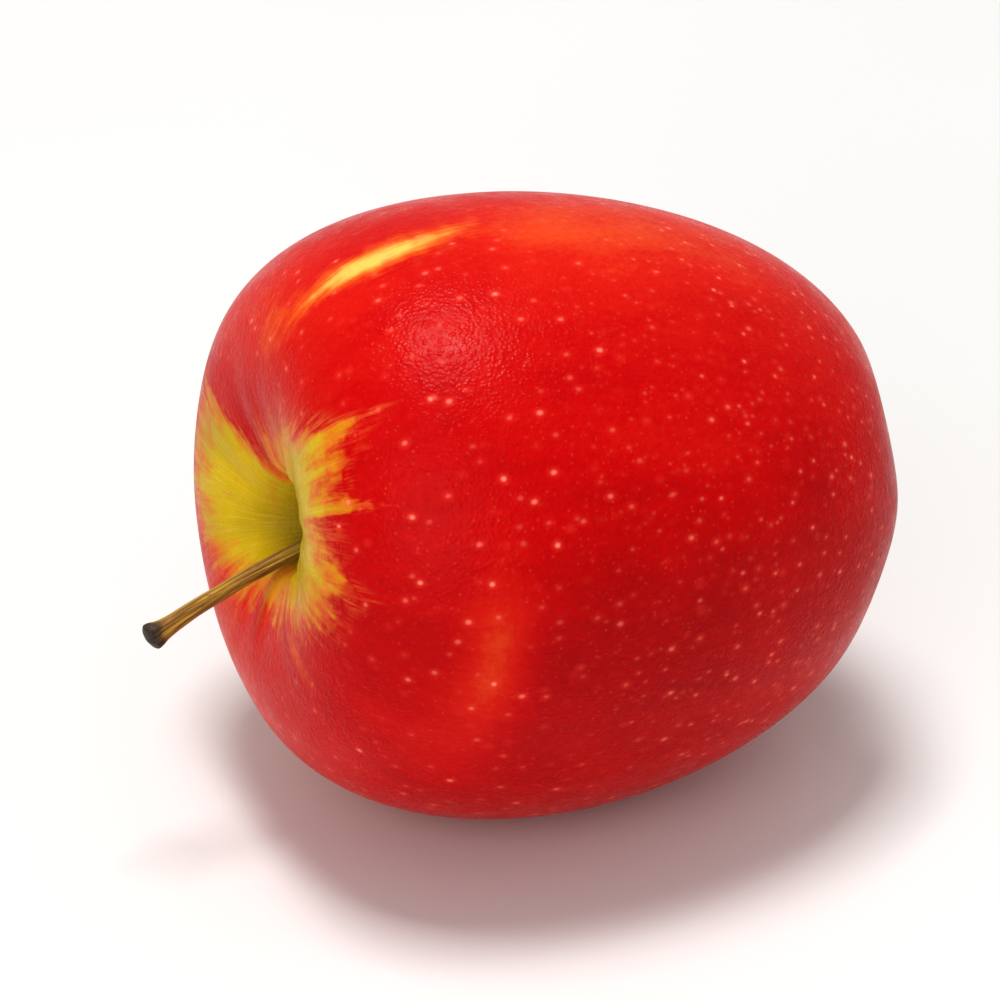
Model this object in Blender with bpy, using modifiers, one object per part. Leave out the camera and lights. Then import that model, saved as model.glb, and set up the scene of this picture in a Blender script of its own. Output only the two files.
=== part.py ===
"""A dessert apple lying on its side, with its stem and the dried flower in its eye.

Everything is grown upright round the Z axis first (the stem end up, the eye
down), bent out of round by one rule, and then laid down on a small flat spot.
Metres, +Z up. The centre of the flat spot is the origin; the stem points
along -X, a little raised.
"""
import math

import bmesh
import bpy
import numpy as np

# Overall sizes
WIDTH = 0.0720            # across the widest circle
SHOULDER_RISE = 0.0304    # widest circle up to the rim round the stem cavity
BASE_DROP = 0.0417        # widest circle down to the rim round the eye
SHOULDER_RING = 0.0165    # radius of the rim round the stem cavity
BASE_RING = 0.0150        # radius of the rim round the eye
UPPER_FULLNESS = 2.25     # 2 is an ellipse, more is squarer
LOWER_FULLNESS = 1.83

# Stem cavity and eye basin
BOWL_DEPTH = 0.0040       # the wide, shallow part inside the shoulder rim
FUNNEL_DEPTH = 0.0105     # the steep part round the stem
FUNNEL_RADIUS = 0.0075
BASIN_DEPTH = 0.0074
SOCKET_DEPTH = 0.0045     # the hole the stem's root sits in
TUBE_RADIUS = 0.0021      # the open tube in the middle of the eye
TUBE_DEPTH = 0.0048

# Out-of-round growth
SHOULDER_TILT = 0.057     # how much higher the shoulder stands on one side
CAVITY_SHIFT = 0.0012     # the funnel round the stem sits this far off the middle
LOBES = 5
LOBE_WAIST = 0.003        # ridges at the widest circle, as a part of the radius
LOBE_BASE = 0.013         # ridges round the eye, as a part of the radius
LOBE_BUMP = 0.0007        # how far the ridges stand out below the base rim

# Lying down
LEAN = math.radians(9.0)  # the stem end is raised by this much
SPOT_DEPTH = 0.00055      # how much of the belly is pressed flat

# Stem
STEM_REACH = 0.0266       # along the core line, from the cavity floor
STEM_DROOP = 0.0134       # how far the tip hangs to one side
STEM_SIDE = -0.0023       # and how far it swings sideways
STEM_BEND = 1.22
STEM_RADIUS = 0.00094
STEM_ROOT_RADIUS = 0.00130
STEM_TIP_RADIUS = 0.00148

# Dried flower in the eye
SEPALS = 5
SEPAL_LENGTH = 0.0064
SEPAL_FILL = 0.82         # how much of its share of the circle a sepal's foot takes
SEPAL_THICKNESS = 0.0004
SEPAL_SETBACK = 0.0006    # how far outside the tube's edge the sepals stand
SEPAL_CURL = 1.55         # how far the tips roll outwards, radians
SEPAL_INLEAN = 0.10       # how far the feet lean inwards, radians
STAMENS = 10
STAMEN_RADIUS = 0.00018
STAMEN_LENGTH = 0.0066
STAMEN_PLACE = 0.58       # the stamens' circle, as a part of the tube's radius
STYLE_RADIUS = 0.00032
STYLE_LENGTH = 0.0070

CLEARANCE = 0.0003
TURNS = 60                # facets round the fruit

HALF_WIDTH = WIDTH / 2
SOCKET_RADIUS = STEM_ROOT_RADIUS + CLEARANCE
SEPAL_RING = TUBE_RADIUS + SEPAL_SETBACK
SEPAL_WIDTH = SEPAL_FILL * 2 * SEPAL_RING * math.sin(math.pi / SEPALS)
STAMEN_RING = STAMEN_PLACE * TUBE_RADIUS


def clear_scene():
    """Take out whatever the start-up file brought."""
    for thing in list(bpy.data.objects):
        bpy.data.objects.remove(thing, do_unlink=True)


def cavity_height(radius):
    """Height of the stem cavity's floor at a distance from the core line."""
    bowl = BOWL_DEPTH * (1 + math.cos(math.pi * radius / SHOULDER_RING)) / 2
    part = min(radius / FUNNEL_RADIUS, 1.0) ** 0.80
    return SHOULDER_RISE - bowl - FUNNEL_DEPTH * (1 + math.cos(math.pi * part)) / 2


def basin_height(radius):
    """Height of the eye basin's roof at a distance from the core line."""
    part = (radius / BASE_RING) ** 0.80
    return -BASE_DROP + BASIN_DEPTH * (1 + math.cos(math.pi * part)) / 2


def outer_side(ring, height, fullness, share):
    """A point of the outer curve, share 0 at the widest circle, 1 at the rim."""
    turn = share * math.pi / 2
    radius = ring + (HALF_WIDTH - ring) * math.cos(turn) ** (2 / fullness)
    return radius, height * math.sin(turn) ** (2 / fullness)


def fruit_profile():
    """Half the section, from the stem socket down the outside to the eye tube."""
    socket_mouth = cavity_height(SOCKET_RADIUS)
    tube_mouth = basin_height(TUBE_RADIUS)
    points = [(0.0, socket_mouth - SOCKET_DEPTH)]
    points.append((SOCKET_RADIUS, socket_mouth - SOCKET_DEPTH))
    points.append((SOCKET_RADIUS, socket_mouth))
    for share in (0.05, 0.12, 0.20, 0.29, 0.38, 0.50, 0.65, 0.82):
        radius = SOCKET_RADIUS + (SHOULDER_RING - SOCKET_RADIUS) * share
        points.append((radius, cavity_height(radius)))
    for share in (0.999, 0.90, 0.78, 0.65, 0.52, 0.40, 0.28, 0.18, 0.08):
        points.append(outer_side(SHOULDER_RING, SHOULDER_RISE, UPPER_FULLNESS, share))
    points.append((HALF_WIDTH, 0.0))
    for share in (0.08, 0.18, 0.28, 0.38, 0.48, 0.58, 0.68, 0.78, 0.89, 0.999):
        points.append(outer_side(BASE_RING, -BASE_DROP, LOWER_FULLNESS, share))
    for share in (0.82, 0.66, 0.50, 0.36, 0.22, 0.10):
        radius = TUBE_RADIUS + (BASE_RING - TUBE_RADIUS) * share
        points.append((radius, basin_height(radius)))
    points.append((TUBE_RADIUS, tube_mouth))
    points.append((TUBE_RADIUS, tube_mouth + TUBE_DEPTH))
    points.append((0.0, tube_mouth + TUBE_DEPTH))
    return points


def grown(points):
    """Bend upright points out of round.

    Five ridges swell towards the eye, one shoulder stands higher than the
    other, and the funnel round the stem slides off the middle.
    """
    x, y, z = points[:, 0], points[:, 1], points[:, 2]
    radius = np.hypot(x, y)
    wave = np.cos(LOBES * np.arctan2(y, x))
    below = np.clip(-z / BASE_DROP, 0.0, 1.0)
    out = np.clip(radius / HALF_WIDTH, 0.0, 1.0) ** 2
    rim = np.exp(-((radius - BASE_RING) / (0.45 * BASE_RING)) ** 2)
    swell = 1 + wave * out * (LOBE_WAIST + (LOBE_BASE - LOBE_WAIST) * below ** 2)
    near_stem = np.exp(-(radius / FUNNEL_RADIUS) ** 2) * np.clip(2 * z / SHOULDER_RISE, 0.0, 1.0)
    new_x = x * swell - CAVITY_SHIFT * near_stem
    new_y = y * swell
    new_z = z + SHOULDER_TILT * x * z / HALF_WIDTH - LOBE_BUMP * wave * rim * below ** 3
    return np.stack((new_x, new_y, new_z), axis=1)


def leaned(points):
    """Turn upright points so the core line lies along X, the stem end raised."""
    rise = math.sin(LEAN)
    level = math.cos(LEAN)
    x, y, z = points[:, 0], points[:, 1], points[:, 2]
    return np.stack((rise * x - level * z, y, level * x + rise * z), axis=1)


def mesh_points(mesh):
    """All the corners of a mesh, one row each."""
    flat = np.empty(len(mesh.vertices) * 3)
    mesh.vertices.foreach_get("co", flat)
    return flat.reshape(-1, 3)


def move_points(mesh, points):
    """Put the corners of a mesh where the rows of points say."""
    mesh.vertices.foreach_set("co", points.ravel())
    mesh.update()


def lay_down(mesh, shift):
    """Grow, lean and set down one upright mesh."""
    move_points(mesh, leaned(grown(mesh_points(mesh))) + shift)


def frozen(holder):
    """The mesh an object makes with its modifiers or curve settings applied."""
    depsgraph = bpy.context.evaluated_depsgraph_get()
    mesh = bpy.data.meshes.new_from_object(holder.evaluated_get(depsgraph))
    bpy.data.objects.remove(holder, do_unlink=True)
    work = bmesh.new()
    work.from_mesh(mesh)
    bmesh.ops.remove_doubles(work, verts=work.verts, dist=1e-6)
    bmesh.ops.recalc_face_normals(work, faces=work.faces)
    work.to_mesh(mesh)
    work.free()
    return mesh


def stage_object(name, data):
    """Link a passing object to the scene so that it can be evaluated."""
    holder = bpy.data.objects.new(name, data)
    bpy.context.scene.collection.objects.link(holder)
    return holder


def turned(name, profile):
    """A solid turned from half a section."""
    mesh = bpy.data.meshes.new(name)
    corners = [(radius, 0.0, height) for radius, height in profile]
    edges = [(i, i + 1) for i in range(len(corners) - 1)]
    mesh.from_pydata(corners, edges, [])
    holder = stage_object(name + "_profile", mesh)
    screw = holder.modifiers.new("turn", "SCREW")
    screw.axis = "Z"
    screw.angle = 2 * math.pi
    screw.steps = TURNS
    screw.render_steps = TURNS
    screw.use_merge_vertices = True
    screw.merge_threshold = 1e-5
    return frozen(holder)


def tube(name, centres, radii, roundness):
    """A capped tube through the centres, its radius changing along the way."""
    curve = bpy.data.curves.new(name, "CURVE")
    curve.dimensions = "3D"
    curve.bevel_depth = 1.0
    curve.bevel_resolution = roundness
    curve.use_fill_caps = True
    strand = curve.splines.new("POLY")
    strand.points.add(len(centres) - 1)
    for point, centre, radius in zip(strand.points, centres, radii):
        point.co = (centre[0], centre[1], centre[2], 1.0)
        point.radius = radius
    return frozen(stage_object(name + "_line", curve))


def stem_line(along):
    """Centre of the stem, along 0 at the cavity floor and 1 at the tip."""
    floor = cavity_height(SOCKET_RADIUS)
    if along < 0:
        return (0.0, 0.0, floor + along * STEM_REACH)
    sag = STEM_DROOP * along ** STEM_BEND
    return (-sag, STEM_SIDE * along ** STEM_BEND, floor + STEM_REACH * along)


def stem_mesh():
    """The stem: thick at the root, thin in the middle, knobbed at the tip."""
    root = (SOCKET_DEPTH - CLEARANCE) / STEM_REACH
    stations = [
        (-root, STEM_ROOT_RADIUS),
        (-0.5 * root, STEM_ROOT_RADIUS),
        (0.0, STEM_ROOT_RADIUS),
        (0.08, 0.5 * (STEM_ROOT_RADIUS + STEM_RADIUS)),
        (0.18, 1.08 * STEM_RADIUS),
        (0.30, STEM_RADIUS),
        (0.42, 0.97 * STEM_RADIUS),
        (0.54, 0.95 * STEM_RADIUS),
        (0.66, 0.97 * STEM_RADIUS),
        (0.78, 1.02 * STEM_RADIUS),
        (0.88, 1.10 * STEM_RADIUS),
        (0.94, 0.5 * (1.1 * STEM_RADIUS + STEM_TIP_RADIUS)),
        (0.975, STEM_TIP_RADIUS),
        (1.0, 0.90 * STEM_TIP_RADIUS),
    ]
    centres = [stem_line(along) for along, _ in stations]
    return tube("stem", centres, [radius for _, radius in stations], 4)


def sepal_mesh(index):
    """One dried sepal: a narrow leaf that stands up and curls outwards.

    Its middle line stands on the sepal circle, leans in a little and rolls
    outwards over the last half; its width narrows to a point and its sides
    cup towards the core line.
    """
    work = bmesh.new()
    bmesh.ops.create_grid(work, x_segments=4, y_segments=8, size=1.0)
    mesh = bpy.data.meshes.new("sepal")
    work.to_mesh(mesh)
    work.free()
    flat = mesh_points(mesh)
    across = flat[:, 0]
    along = (flat[:, 1] + 1) / 2
    curl = SEPAL_CURL * (0.90 + 0.35 * math.cos(2.4 * index))
    shares = np.linspace(0.0, 1.0, 200)
    lean = curl * shares ** 2.2 - SEPAL_INLEAN
    stride = SEPAL_LENGTH / len(shares)
    out = SEPAL_RING + np.interp(along, shares, np.cumsum(np.sin(lean)) * stride)
    up = np.interp(along, shares, np.cumsum(np.cos(lean)) * stride)
    half = SEPAL_WIDTH / 2 * (1 - along ** 1.6) ** 0.8 * (1 + 0.25 * along)
    half = half + SEPAL_THICKNESS * 0.4
    cup = 0.30 * across ** 2 * half
    here = np.interp(along, shares, lean)
    away = out - cup * np.cos(here)
    foot = basin_height(SEPAL_RING + SEPAL_THICKNESS) - CLEARANCE - SEPAL_THICKNESS / 4
    turn = 2 * math.pi * (index + 0.5) / SEPALS
    x = away * math.cos(turn) - across * half * math.sin(turn)
    y = away * math.sin(turn) + across * half * math.cos(turn)
    move_points(mesh, np.stack((x, y, foot - up - cup * np.sin(here)), axis=1))
    holder = stage_object("sepal_leaf", mesh)
    solid = holder.modifiers.new("thickness", "SOLIDIFY")
    solid.thickness = SEPAL_THICKNESS
    solid.offset = 0.0
    return frozen(holder)


def stamen_mesh(index):
    """One dried stamen: a thin thread out of the tube with a small head."""
    turn = 2 * math.pi * (index + 0.25) / STAMENS
    bottom = basin_height(TUBE_RADIUS) + TUBE_DEPTH - CLEARANCE
    reach = STAMEN_LENGTH * (0.86 + 0.14 * math.cos(3.7 * index))
    centres = []
    for along in (0.0, 0.3, 0.55, 0.75, 0.90, 1.0):
        away = STAMEN_RING * (1 + 0.16 * along ** 2)
        swing = turn + 0.06 * along * math.sin(2.1 * index)
        centres.append((away * math.cos(swing), away * math.sin(swing), bottom - reach * along))
    radii = [STAMEN_RADIUS * size for size in (1.0, 1.0, 0.9, 0.9, 1.35, 1.1)]
    return tube("stamen", centres, radii, 1)


def style_mesh():
    """The dried style column in the middle of the tube."""
    bottom = basin_height(TUBE_RADIUS) + TUBE_DEPTH - CLEARANCE
    shares = (0.0, 0.35, 0.7, 0.9, 1.0)
    centres = [(0.0, 0.0, bottom - STYLE_LENGTH * share) for share in shares]
    radii = [STYLE_RADIUS * size for size in (1.5, 1.0, 0.9, 1.25, 1.1)]
    return tube("style", centres, radii, 2)


def set_on_flat_spot(mesh):
    """Press the belly flat and say how far the fruit had to be moved.

    The fruit is lowered until the spot's depth is under the ground, cut off
    level, closed, and slid so that the cut's middle is the origin.
    """
    points = leaned(grown(mesh_points(mesh)))
    lift = -points[:, 2].min() - SPOT_DEPTH
    move_points(mesh, points + np.array((0.0, 0.0, lift)))
    work = bmesh.new()
    work.from_mesh(mesh)
    everything = work.verts[:] + work.edges[:] + work.faces[:]
    cut = bmesh.ops.bisect_plane(
        work, geom=everything, dist=1e-6, plane_co=(0, 0, 0), plane_no=(0, 0, 1),
        clear_inner=True,
    )
    rim = [piece for piece in cut["geom_cut"] if isinstance(piece, bmesh.types.BMEdge)]
    bmesh.ops.edgeloop_fill(work, edges=rim)
    bmesh.ops.recalc_face_normals(work, faces=work.faces)
    flat = min(work.faces, key=lambda face: face.calc_center_median().z)
    middle = flat.calc_center_median_weighted()
    work.to_mesh(mesh)
    work.free()
    slide = np.array((-middle.x, -middle.y, 0.0))
    move_points(mesh, mesh_points(mesh) + slide)
    return slide + np.array((0.0, 0.0, lift))


def painted(name, colour, roughness):
    """A plain stand-in material."""
    material = bpy.data.materials.new(name)
    material.use_nodes = True
    shader = material.node_tree.nodes["Principled BSDF"]
    shader.inputs["Base Color"].default_value = (*colour, 1.0)
    shader.inputs["Roughness"].default_value = roughness
    material.diffuse_color = (*colour, 1.0)
    return material


def publish(name, mesh, material, collection):
    """Put a finished mesh in the apple's collection under its own name."""
    mesh.name = name
    mesh.materials.clear()
    mesh.materials.append(material)
    mesh.polygons.foreach_set("use_smooth", [True] * len(mesh.polygons))
    mesh.update()
    collection.objects.link(bpy.data.objects.new(name, mesh))


def build():
    """Make every piece of the apple."""
    clear_scene()
    apple = bpy.data.collections.new("apple")
    bpy.context.scene.collection.children.link(apple)
    fruit = turned("fruit", fruit_profile())
    shift = set_on_flat_spot(fruit)
    publish("fruit", fruit, painted("apple_skin", (0.60, 0.03, 0.02), 0.35), apple)
    stem = stem_mesh()
    lay_down(stem, shift)
    publish("stem", stem, painted("stem_bark", (0.25, 0.15, 0.03), 0.7), apple)
    for index in range(SEPALS):
        sepal = sepal_mesh(index)
        lay_down(sepal, shift)
        leaf = painted(f"sepal_leaf_{index + 1}", (0.12, 0.07, 0.03), 0.85)
        publish(f"sepal_{index + 1}", sepal, leaf, apple)
    for index in range(STAMENS):
        stamen = stamen_mesh(index)
        lay_down(stamen, shift)
        thread = painted(f"stamen_thread_{index + 1:02d}", (0.07, 0.04, 0.02), 0.85)
        publish(f"stamen_{index + 1:02d}", stamen, thread, apple)
    style = style_mesh()
    lay_down(style, shift)
    publish("style_column", style, painted("style_tissue", (0.07, 0.04, 0.02), 0.85), apple)


build()
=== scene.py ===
"""The looks of a dessert apple lying on its side.

The skin is a yellow ground under a red blush that thins out in rays round the
stem, with pale lenticels all over. The stem is dry and ridged, with a dark
knob, and the eye holds the dried flower. The fruit's form follows the same
rule as the solid it stands for: it is grown upright round Z, bent out of
round, leaned over and set down on its flat spot. Metres, +Z up.
"""
import math
from types import SimpleNamespace

import bpy
import numpy as np
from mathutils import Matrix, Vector


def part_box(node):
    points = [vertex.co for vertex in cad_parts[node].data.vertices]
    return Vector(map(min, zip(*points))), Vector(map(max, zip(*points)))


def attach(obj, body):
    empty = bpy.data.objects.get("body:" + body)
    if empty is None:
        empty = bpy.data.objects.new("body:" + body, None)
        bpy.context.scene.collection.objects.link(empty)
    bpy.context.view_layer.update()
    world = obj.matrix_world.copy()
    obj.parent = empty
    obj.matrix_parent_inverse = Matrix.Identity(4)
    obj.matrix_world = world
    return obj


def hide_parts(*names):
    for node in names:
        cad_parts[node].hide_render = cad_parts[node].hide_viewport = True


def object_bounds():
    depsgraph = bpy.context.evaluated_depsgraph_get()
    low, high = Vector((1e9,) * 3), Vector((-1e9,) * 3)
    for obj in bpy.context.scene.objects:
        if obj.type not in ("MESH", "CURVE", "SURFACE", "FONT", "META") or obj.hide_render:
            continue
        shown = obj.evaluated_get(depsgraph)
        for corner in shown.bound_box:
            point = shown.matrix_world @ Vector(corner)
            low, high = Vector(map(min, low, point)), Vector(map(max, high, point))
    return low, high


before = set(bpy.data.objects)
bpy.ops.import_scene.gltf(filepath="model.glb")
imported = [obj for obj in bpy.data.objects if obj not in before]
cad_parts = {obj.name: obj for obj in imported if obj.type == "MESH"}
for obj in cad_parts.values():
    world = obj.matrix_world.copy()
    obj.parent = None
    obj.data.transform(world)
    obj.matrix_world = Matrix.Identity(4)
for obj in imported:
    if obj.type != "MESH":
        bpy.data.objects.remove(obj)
cad_low, cad_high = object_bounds()

QUARTER = math.pi / 2
UPRIGHT_SIDE = np.array((0.0, 1.0, 0.0))

# The fruit's form, as the solid has it
WIDTH = 0.0720
HALF_WIDTH = WIDTH / 2
SHOULDER_RISE = 0.0304
BASE_DROP = 0.0417
SHOULDER_RING = 0.0165
BASE_RING = 0.0150
UPPER_FULLNESS = 2.25
LOWER_FULLNESS = 1.83
BOWL_DEPTH = 0.0040
FUNNEL_DEPTH = 0.0105
FUNNEL_RADIUS = 0.0075
BASIN_DEPTH = 0.0074
DIP_FLARE = 0.80
TUBE_RADIUS = 0.0021
TUBE_DEPTH = 0.0048
TUBE_LIP = 0.0005
TUBE_ROUNDING = 0.6
SHOULDER_TILT = 0.057
CAVITY_SHIFT = 0.0012
LOBES = 5
LOBE_WAIST = 0.003
LOBE_BASE = 0.013
LOBE_BUMP = 0.0007
LOBE_RIM = 0.45 * BASE_RING
LEAN = math.radians(9.0)

# The skin's unevenness. Waves are (height, count round, count along, start)
SWELL_HEIGHT = 0.00013
RIB_HEIGHT = 0.00011
RIB_WAY, RIB_LENGTH = 0.125, 0.050
PUCKER_HEIGHT = 0.00022
PUCKER_WAY, PUCKER_LENGTH = 0.965, 0.022
SWELLS = ((1.0, 2, 3, 1.3), (0.6, 3, 5, -0.7), (0.5, 5, -7, 2.1), (0.3, 8, 11, 0.0))
RIBS = ((1.0, 9, 0, 0.6), (0.7, 16, 6, 2.2))
PUCKERS = ((1.0, 5, 0, QUARTER), (0.45, 15, 0, 1.0), (0.3, 23, 0, 0.0))

# Stem
STEM_REACH = 0.0266
STEM_DROOP = 0.0134
STEM_SIDE = -0.0023
STEM_BEND = 1.22
STEM_RADIUS = 0.00094
STEM_ROOT_RADIUS = 0.00130
STEM_ROOT_DEPTH = 0.0030
STEM_WAYS = (-1.0, 0.0, 0.08, 0.18, 0.30, 0.54, 0.78, 0.88, 0.93, 0.962, 0.985, 1.0)
STEM_SIZES = (1.38, 1.38, 1.22, 1.08, 1.00, 0.95, 1.02, 1.10, 1.26, 1.56, 1.58, 1.50)
STEM_RIDGES = (
    (0.075, 3, 1.2, 0.8 + QUARTER), (0.050, 7, -1.6, QUARTER), (0.022, 13, 3, 0.0), (0.020, 1, 31, 0.0),
)
KNOB_LUMPS = ((0.16, 1, 0, 2.4 + QUARTER), (0.06, 2, 0, 0.4 + QUARTER), (0.05, 5, 0, 1.0 + QUARTER))
KNOB_SHOULDER = 0.975
KNOB_ROUNDING = 0.0255

# Dried flower. Thread sizes are parts of the radius, from the root to the head
SEPALS = 5
SEPAL_LENGTH = 0.0064
SEPAL_WIDTH = 0.0026
SEPAL_THICKNESS = 0.00034
SEPAL_RING = 0.0027
SEPAL_CURL = 1.55
SEPAL_INLEAN = 0.10
SEPAL_FOOT = 0.0004
SEPAL_TIP = 0.00010
STAMENS = 10
STAMEN_RADIUS = 0.00018
STAMEN_RING = 0.00122
STAMEN_LENGTH = 0.0066
STAMEN_SWING = 0.06
STAMEN_SIZES = (1.0, 0.95, 0.9, 0.85, 0.85, 1.5, 1.2)
STYLE_RADIUS = 0.00032
STYLE_RING = 0.00004
STYLE_LENGTH = 0.0070
STYLE_SIZES = (1.5, 1.2, 1.0, 0.95, 0.9, 1.3, 1.1)
THREAD_ROOT = 0.0012
THREAD_WOBBLE = 0.00006

# The blush. Bearings are degrees round the core line: 0 up, -90 the near side. Ways
# run from 0 at the stem to 1 at the edge of the eye tube
BLUSH_MARGIN = 0.030
EYE_EDGE = 0.962
EYE_SCALLOP = 0.010
EYE_MARGIN = 0.020
BARE, FULL = -3.0, 3.8
PLAIN_DEPTH = 0.58

# How far from the stem the bare ground reaches: (bearing, way)
BARE_REACH = (
    (-180, 0.126), (-155, 0.135), (-129, 0.148), (-120, 0.162), (-112, 0.176), (-98, 0.204),
    (-91, 0.214), (-87, 0.222), (-85, 0.242), (-83, 0.246), (-80, 0.226), (-77, 0.212),
    (-73, 0.206), (-61.5, 0.205), (-60.5, 0.262), (-59, 0.264), (-57.5, 0.226), (-51, 0.224),
    (-47, 0.246), (-44, 0.232), (-40, 0.256), (-37.5, 0.270), (-35, 0.214), (-26, 0.176),
    (-16, 0.160), (0, 0.136), (15, 0.120), (30, 0.110), (51, 0.110), (58, 0.150), (67, 0.212),
    (80, 0.224), (96, 0.224), (121, 0.206), (139, 0.178), (151, 0.157), (180, 0.126),
)

# Patches of deeper or fainter red: (amount, bearing, its width, way, its width)
DEPTH_PATCHES = (
    (0.15, -97, 32, 0.550, 0.200),
    (0.10, -135, 26, 0.360, 0.140),
    (-0.40, -91, 16, 0.381, 0.030),
    (-0.12, -114, 14, 0.350, 0.050),
    (-0.20, 28, 26, 0.250, 0.080),
)

# Flecks beside the yellow streak and a lone ray below the stem, told the same way
STREAK_PATCHES = ((0.30, 8, 8, 0.232, 0.032), (0.34, -125, 4.5, 0.185, 0.036))

# The boldest lenticels: (bearing, way)
BOLD_LENTICELS = (
    (-56.5, 0.386), (-62.7, 0.306), (-39.0, 0.338), (-76.5, 0.311),
    (-69.0, 0.428), (-76.0, 0.372), (-64.5, 0.232), (-96.5, 0.383),
)

# The way from stem to eye in units of the turn's cosine and sine, where lenticels are round
WAY_TO_TURN = 3.7

# How finely the surfaces are drawn: rings along, points round
FRUIT_GRID = (250, 384)
STEM_GRID = (240, 64)
SEPAL_GRID = (48, 32)
THREAD_GRID = (40, 12)


# ---------------------------------------------------------------- mesh work

def closed_mesh(name, rows, marks):
    """A closed skin over rings of points, with a pole at each end.

    rows is (rings, points round a ring, 3). Neighbouring rings are joined by
    quads that wrap round, and the first and last ring each close in a fan to
    their own middle. marks gives values for the surface: name to an array of
    (rings, around) or (rings, around, 3). The map OFBake unrolls it, once
    round across and from end to end upwards.
    """
    rings, around = rows.shape[:2]
    middle = rows[[0, -1]].mean(axis=1)
    points = np.concatenate((rows.reshape(-1, 3), middle))
    ring = np.arange(rings - 1)[:, None]
    step = np.arange(around)[None, :]
    ahead = (step + 1) % around
    quads = np.stack(
        (
            ring * around + step,
            ring * around + ahead,
            (ring + 1) * around + ahead,
            (ring + 1) * around + step,
        ),
        axis=-1,
    ).reshape(-1, 4)
    first, last = rings * around, rings * around + 1
    rim = np.arange(around)
    far_rim = (rings - 1) * around + rim
    fan_a = np.stack((np.roll(rim, -1), rim, np.full(around, first)), axis=-1)
    fan_b = np.stack((far_rim, np.roll(far_rim, -1), np.full(around, last)), axis=-1)
    mesh = bpy.data.meshes.new(name)
    mesh.from_pydata(points.tolist(), [], quads.tolist() + fan_a.tolist() + fan_b.tolist())
    for mark, values in marks.items():
        add_mark(mesh, mark, values)
    add_map(mesh, rings, around)
    mesh.polygons.foreach_set("use_smooth", np.ones(len(mesh.polygons), dtype=bool))
    mesh.update()
    return mesh


def add_mark(mesh, mark, values):
    """Store numbers or vectors ring by ring; each pole takes the mean of its ring."""
    kind, slot = ("FLOAT", "value") if values.ndim == 2 else ("FLOAT_VECTOR", "vector")
    ends = values[[0, -1]].mean(axis=1)
    flat = np.concatenate((values.reshape(-1, *values.shape[2:]), ends))
    layer = mesh.attributes.new(mark, kind, "POINT")
    layer.data.foreach_set(slot, flat.astype(np.float32).ravel())


def add_map(mesh, rings, around):
    """Unroll the rings: across is once round, up is from the first pole to the last."""
    step = np.arange(around) / around
    wide = 1 / around
    level = (np.arange(rings) + 1) / (rings + 1)
    low, across = np.meshgrid(level[:-1], step, indexing="ij")
    high = np.repeat(level[1:, None], around, axis=1)
    quads = np.stack(
        (
            np.stack((across, low), -1),
            np.stack((across + wide, low), -1),
            np.stack((across + wide, high), -1),
            np.stack((across, high), -1),
        ),
        axis=2,
    ).reshape(-1, 2)
    flat = np.zeros(around)
    fan_a = np.stack(
        (
            np.stack((step + wide, flat + level[0]), -1),
            np.stack((step, flat + level[0]), -1),
            np.stack((step + wide / 2, flat), -1),
        ),
        axis=1,
    ).reshape(-1, 2)
    fan_b = np.stack(
        (
            np.stack((step, flat + level[-1]), -1),
            np.stack((step + wide, flat + level[-1]), -1),
            np.stack((step + wide / 2, flat + 1), -1),
        ),
        axis=1,
    ).reshape(-1, 2)
    layer = mesh.uv_layers.new(name="OFBake")
    corners = np.concatenate((quads, fan_a, fan_b)).astype(np.float32)
    layer.data.foreach_set("uv", corners.ravel())


def unit(vectors):
    """Vectors scaled to length 1."""
    return vectors / np.maximum(np.linalg.norm(vectors, axis=-1, keepdims=True), 1e-12)


def normals_of(rows):
    """Outward directions of a ring grid, from the cross product of its two runs."""
    wrapped = np.concatenate((rows[:, -1:], rows, rows[:, :1]), axis=1)
    round_run = (wrapped[:, 2:] - wrapped[:, :-2]) / 2
    return unit(np.cross(round_run, np.gradient(rows, axis=0)))


def turn_marks(turn, share):
    """The mark that materials read: cosine and sine of the turn, and the share of the way."""
    return np.stack(np.broadcast_arrays(np.cos(turn), np.sin(turn), share), axis=-1)


def show(name, mesh, material, node):
    """Put a piece in the scene in place of the solid it stands for."""
    piece = bpy.data.objects.new(name, mesh)
    mesh.materials.append(material)
    bpy.context.scene.collection.objects.link(piece)
    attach(piece, "root")
    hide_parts(node)


# ------------------------------------------------------------- curve shapes

def spread(angle, middle, width):
    """A bell round a meridian: 1 on it, fading over width, all in degrees."""
    away = (angle - middle + 180) % 360 - 180
    return np.exp(-(away / width) ** 2)


def bell(value, middle, width):
    """1 at the middle, fading over width on both sides."""
    return np.exp(-((value - middle) / width) ** 2)


def ramp_up(value, low, high):
    """0 below low, 1 above high, and an S curve between."""
    part = np.clip((value - low) / (high - low), 0.0, 1.0)
    return part * part * (3 - 2 * part)


def lasting(value, start, full, wane, end):
    """An S curve up from start to full, and another down from wane to end."""
    return ramp_up(value, start, full) - ramp_up(value, wane, end)


def waves(around, along, table):
    """Sines added up, each with its height, its count round and along, and its start."""
    return sum(
        height * np.sin(turns * around + runs * along + start)
        for height, turns, runs, start in table
    )


def patches(degrees, along, table):
    """Soft spots added up, each a bell round its bearing times a bell round its way."""
    return sum(
        amount * spread(degrees, bearing, width) * bell(along, way, length)
        for amount, bearing, width, way, length in table
    )


# ------------------------------------------------------------ the growth rule

def cavity_height(radius):
    """Height of the stem cavity's floor: a shallow cosine bowl and a steep funnel in it."""
    bowl = BOWL_DEPTH * (1 + np.cos(np.pi * radius / SHOULDER_RING)) / 2
    part = np.minimum(radius / FUNNEL_RADIUS, 1.0) ** DIP_FLARE
    return SHOULDER_RISE - bowl - FUNNEL_DEPTH * (1 + np.cos(np.pi * part)) / 2


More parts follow.
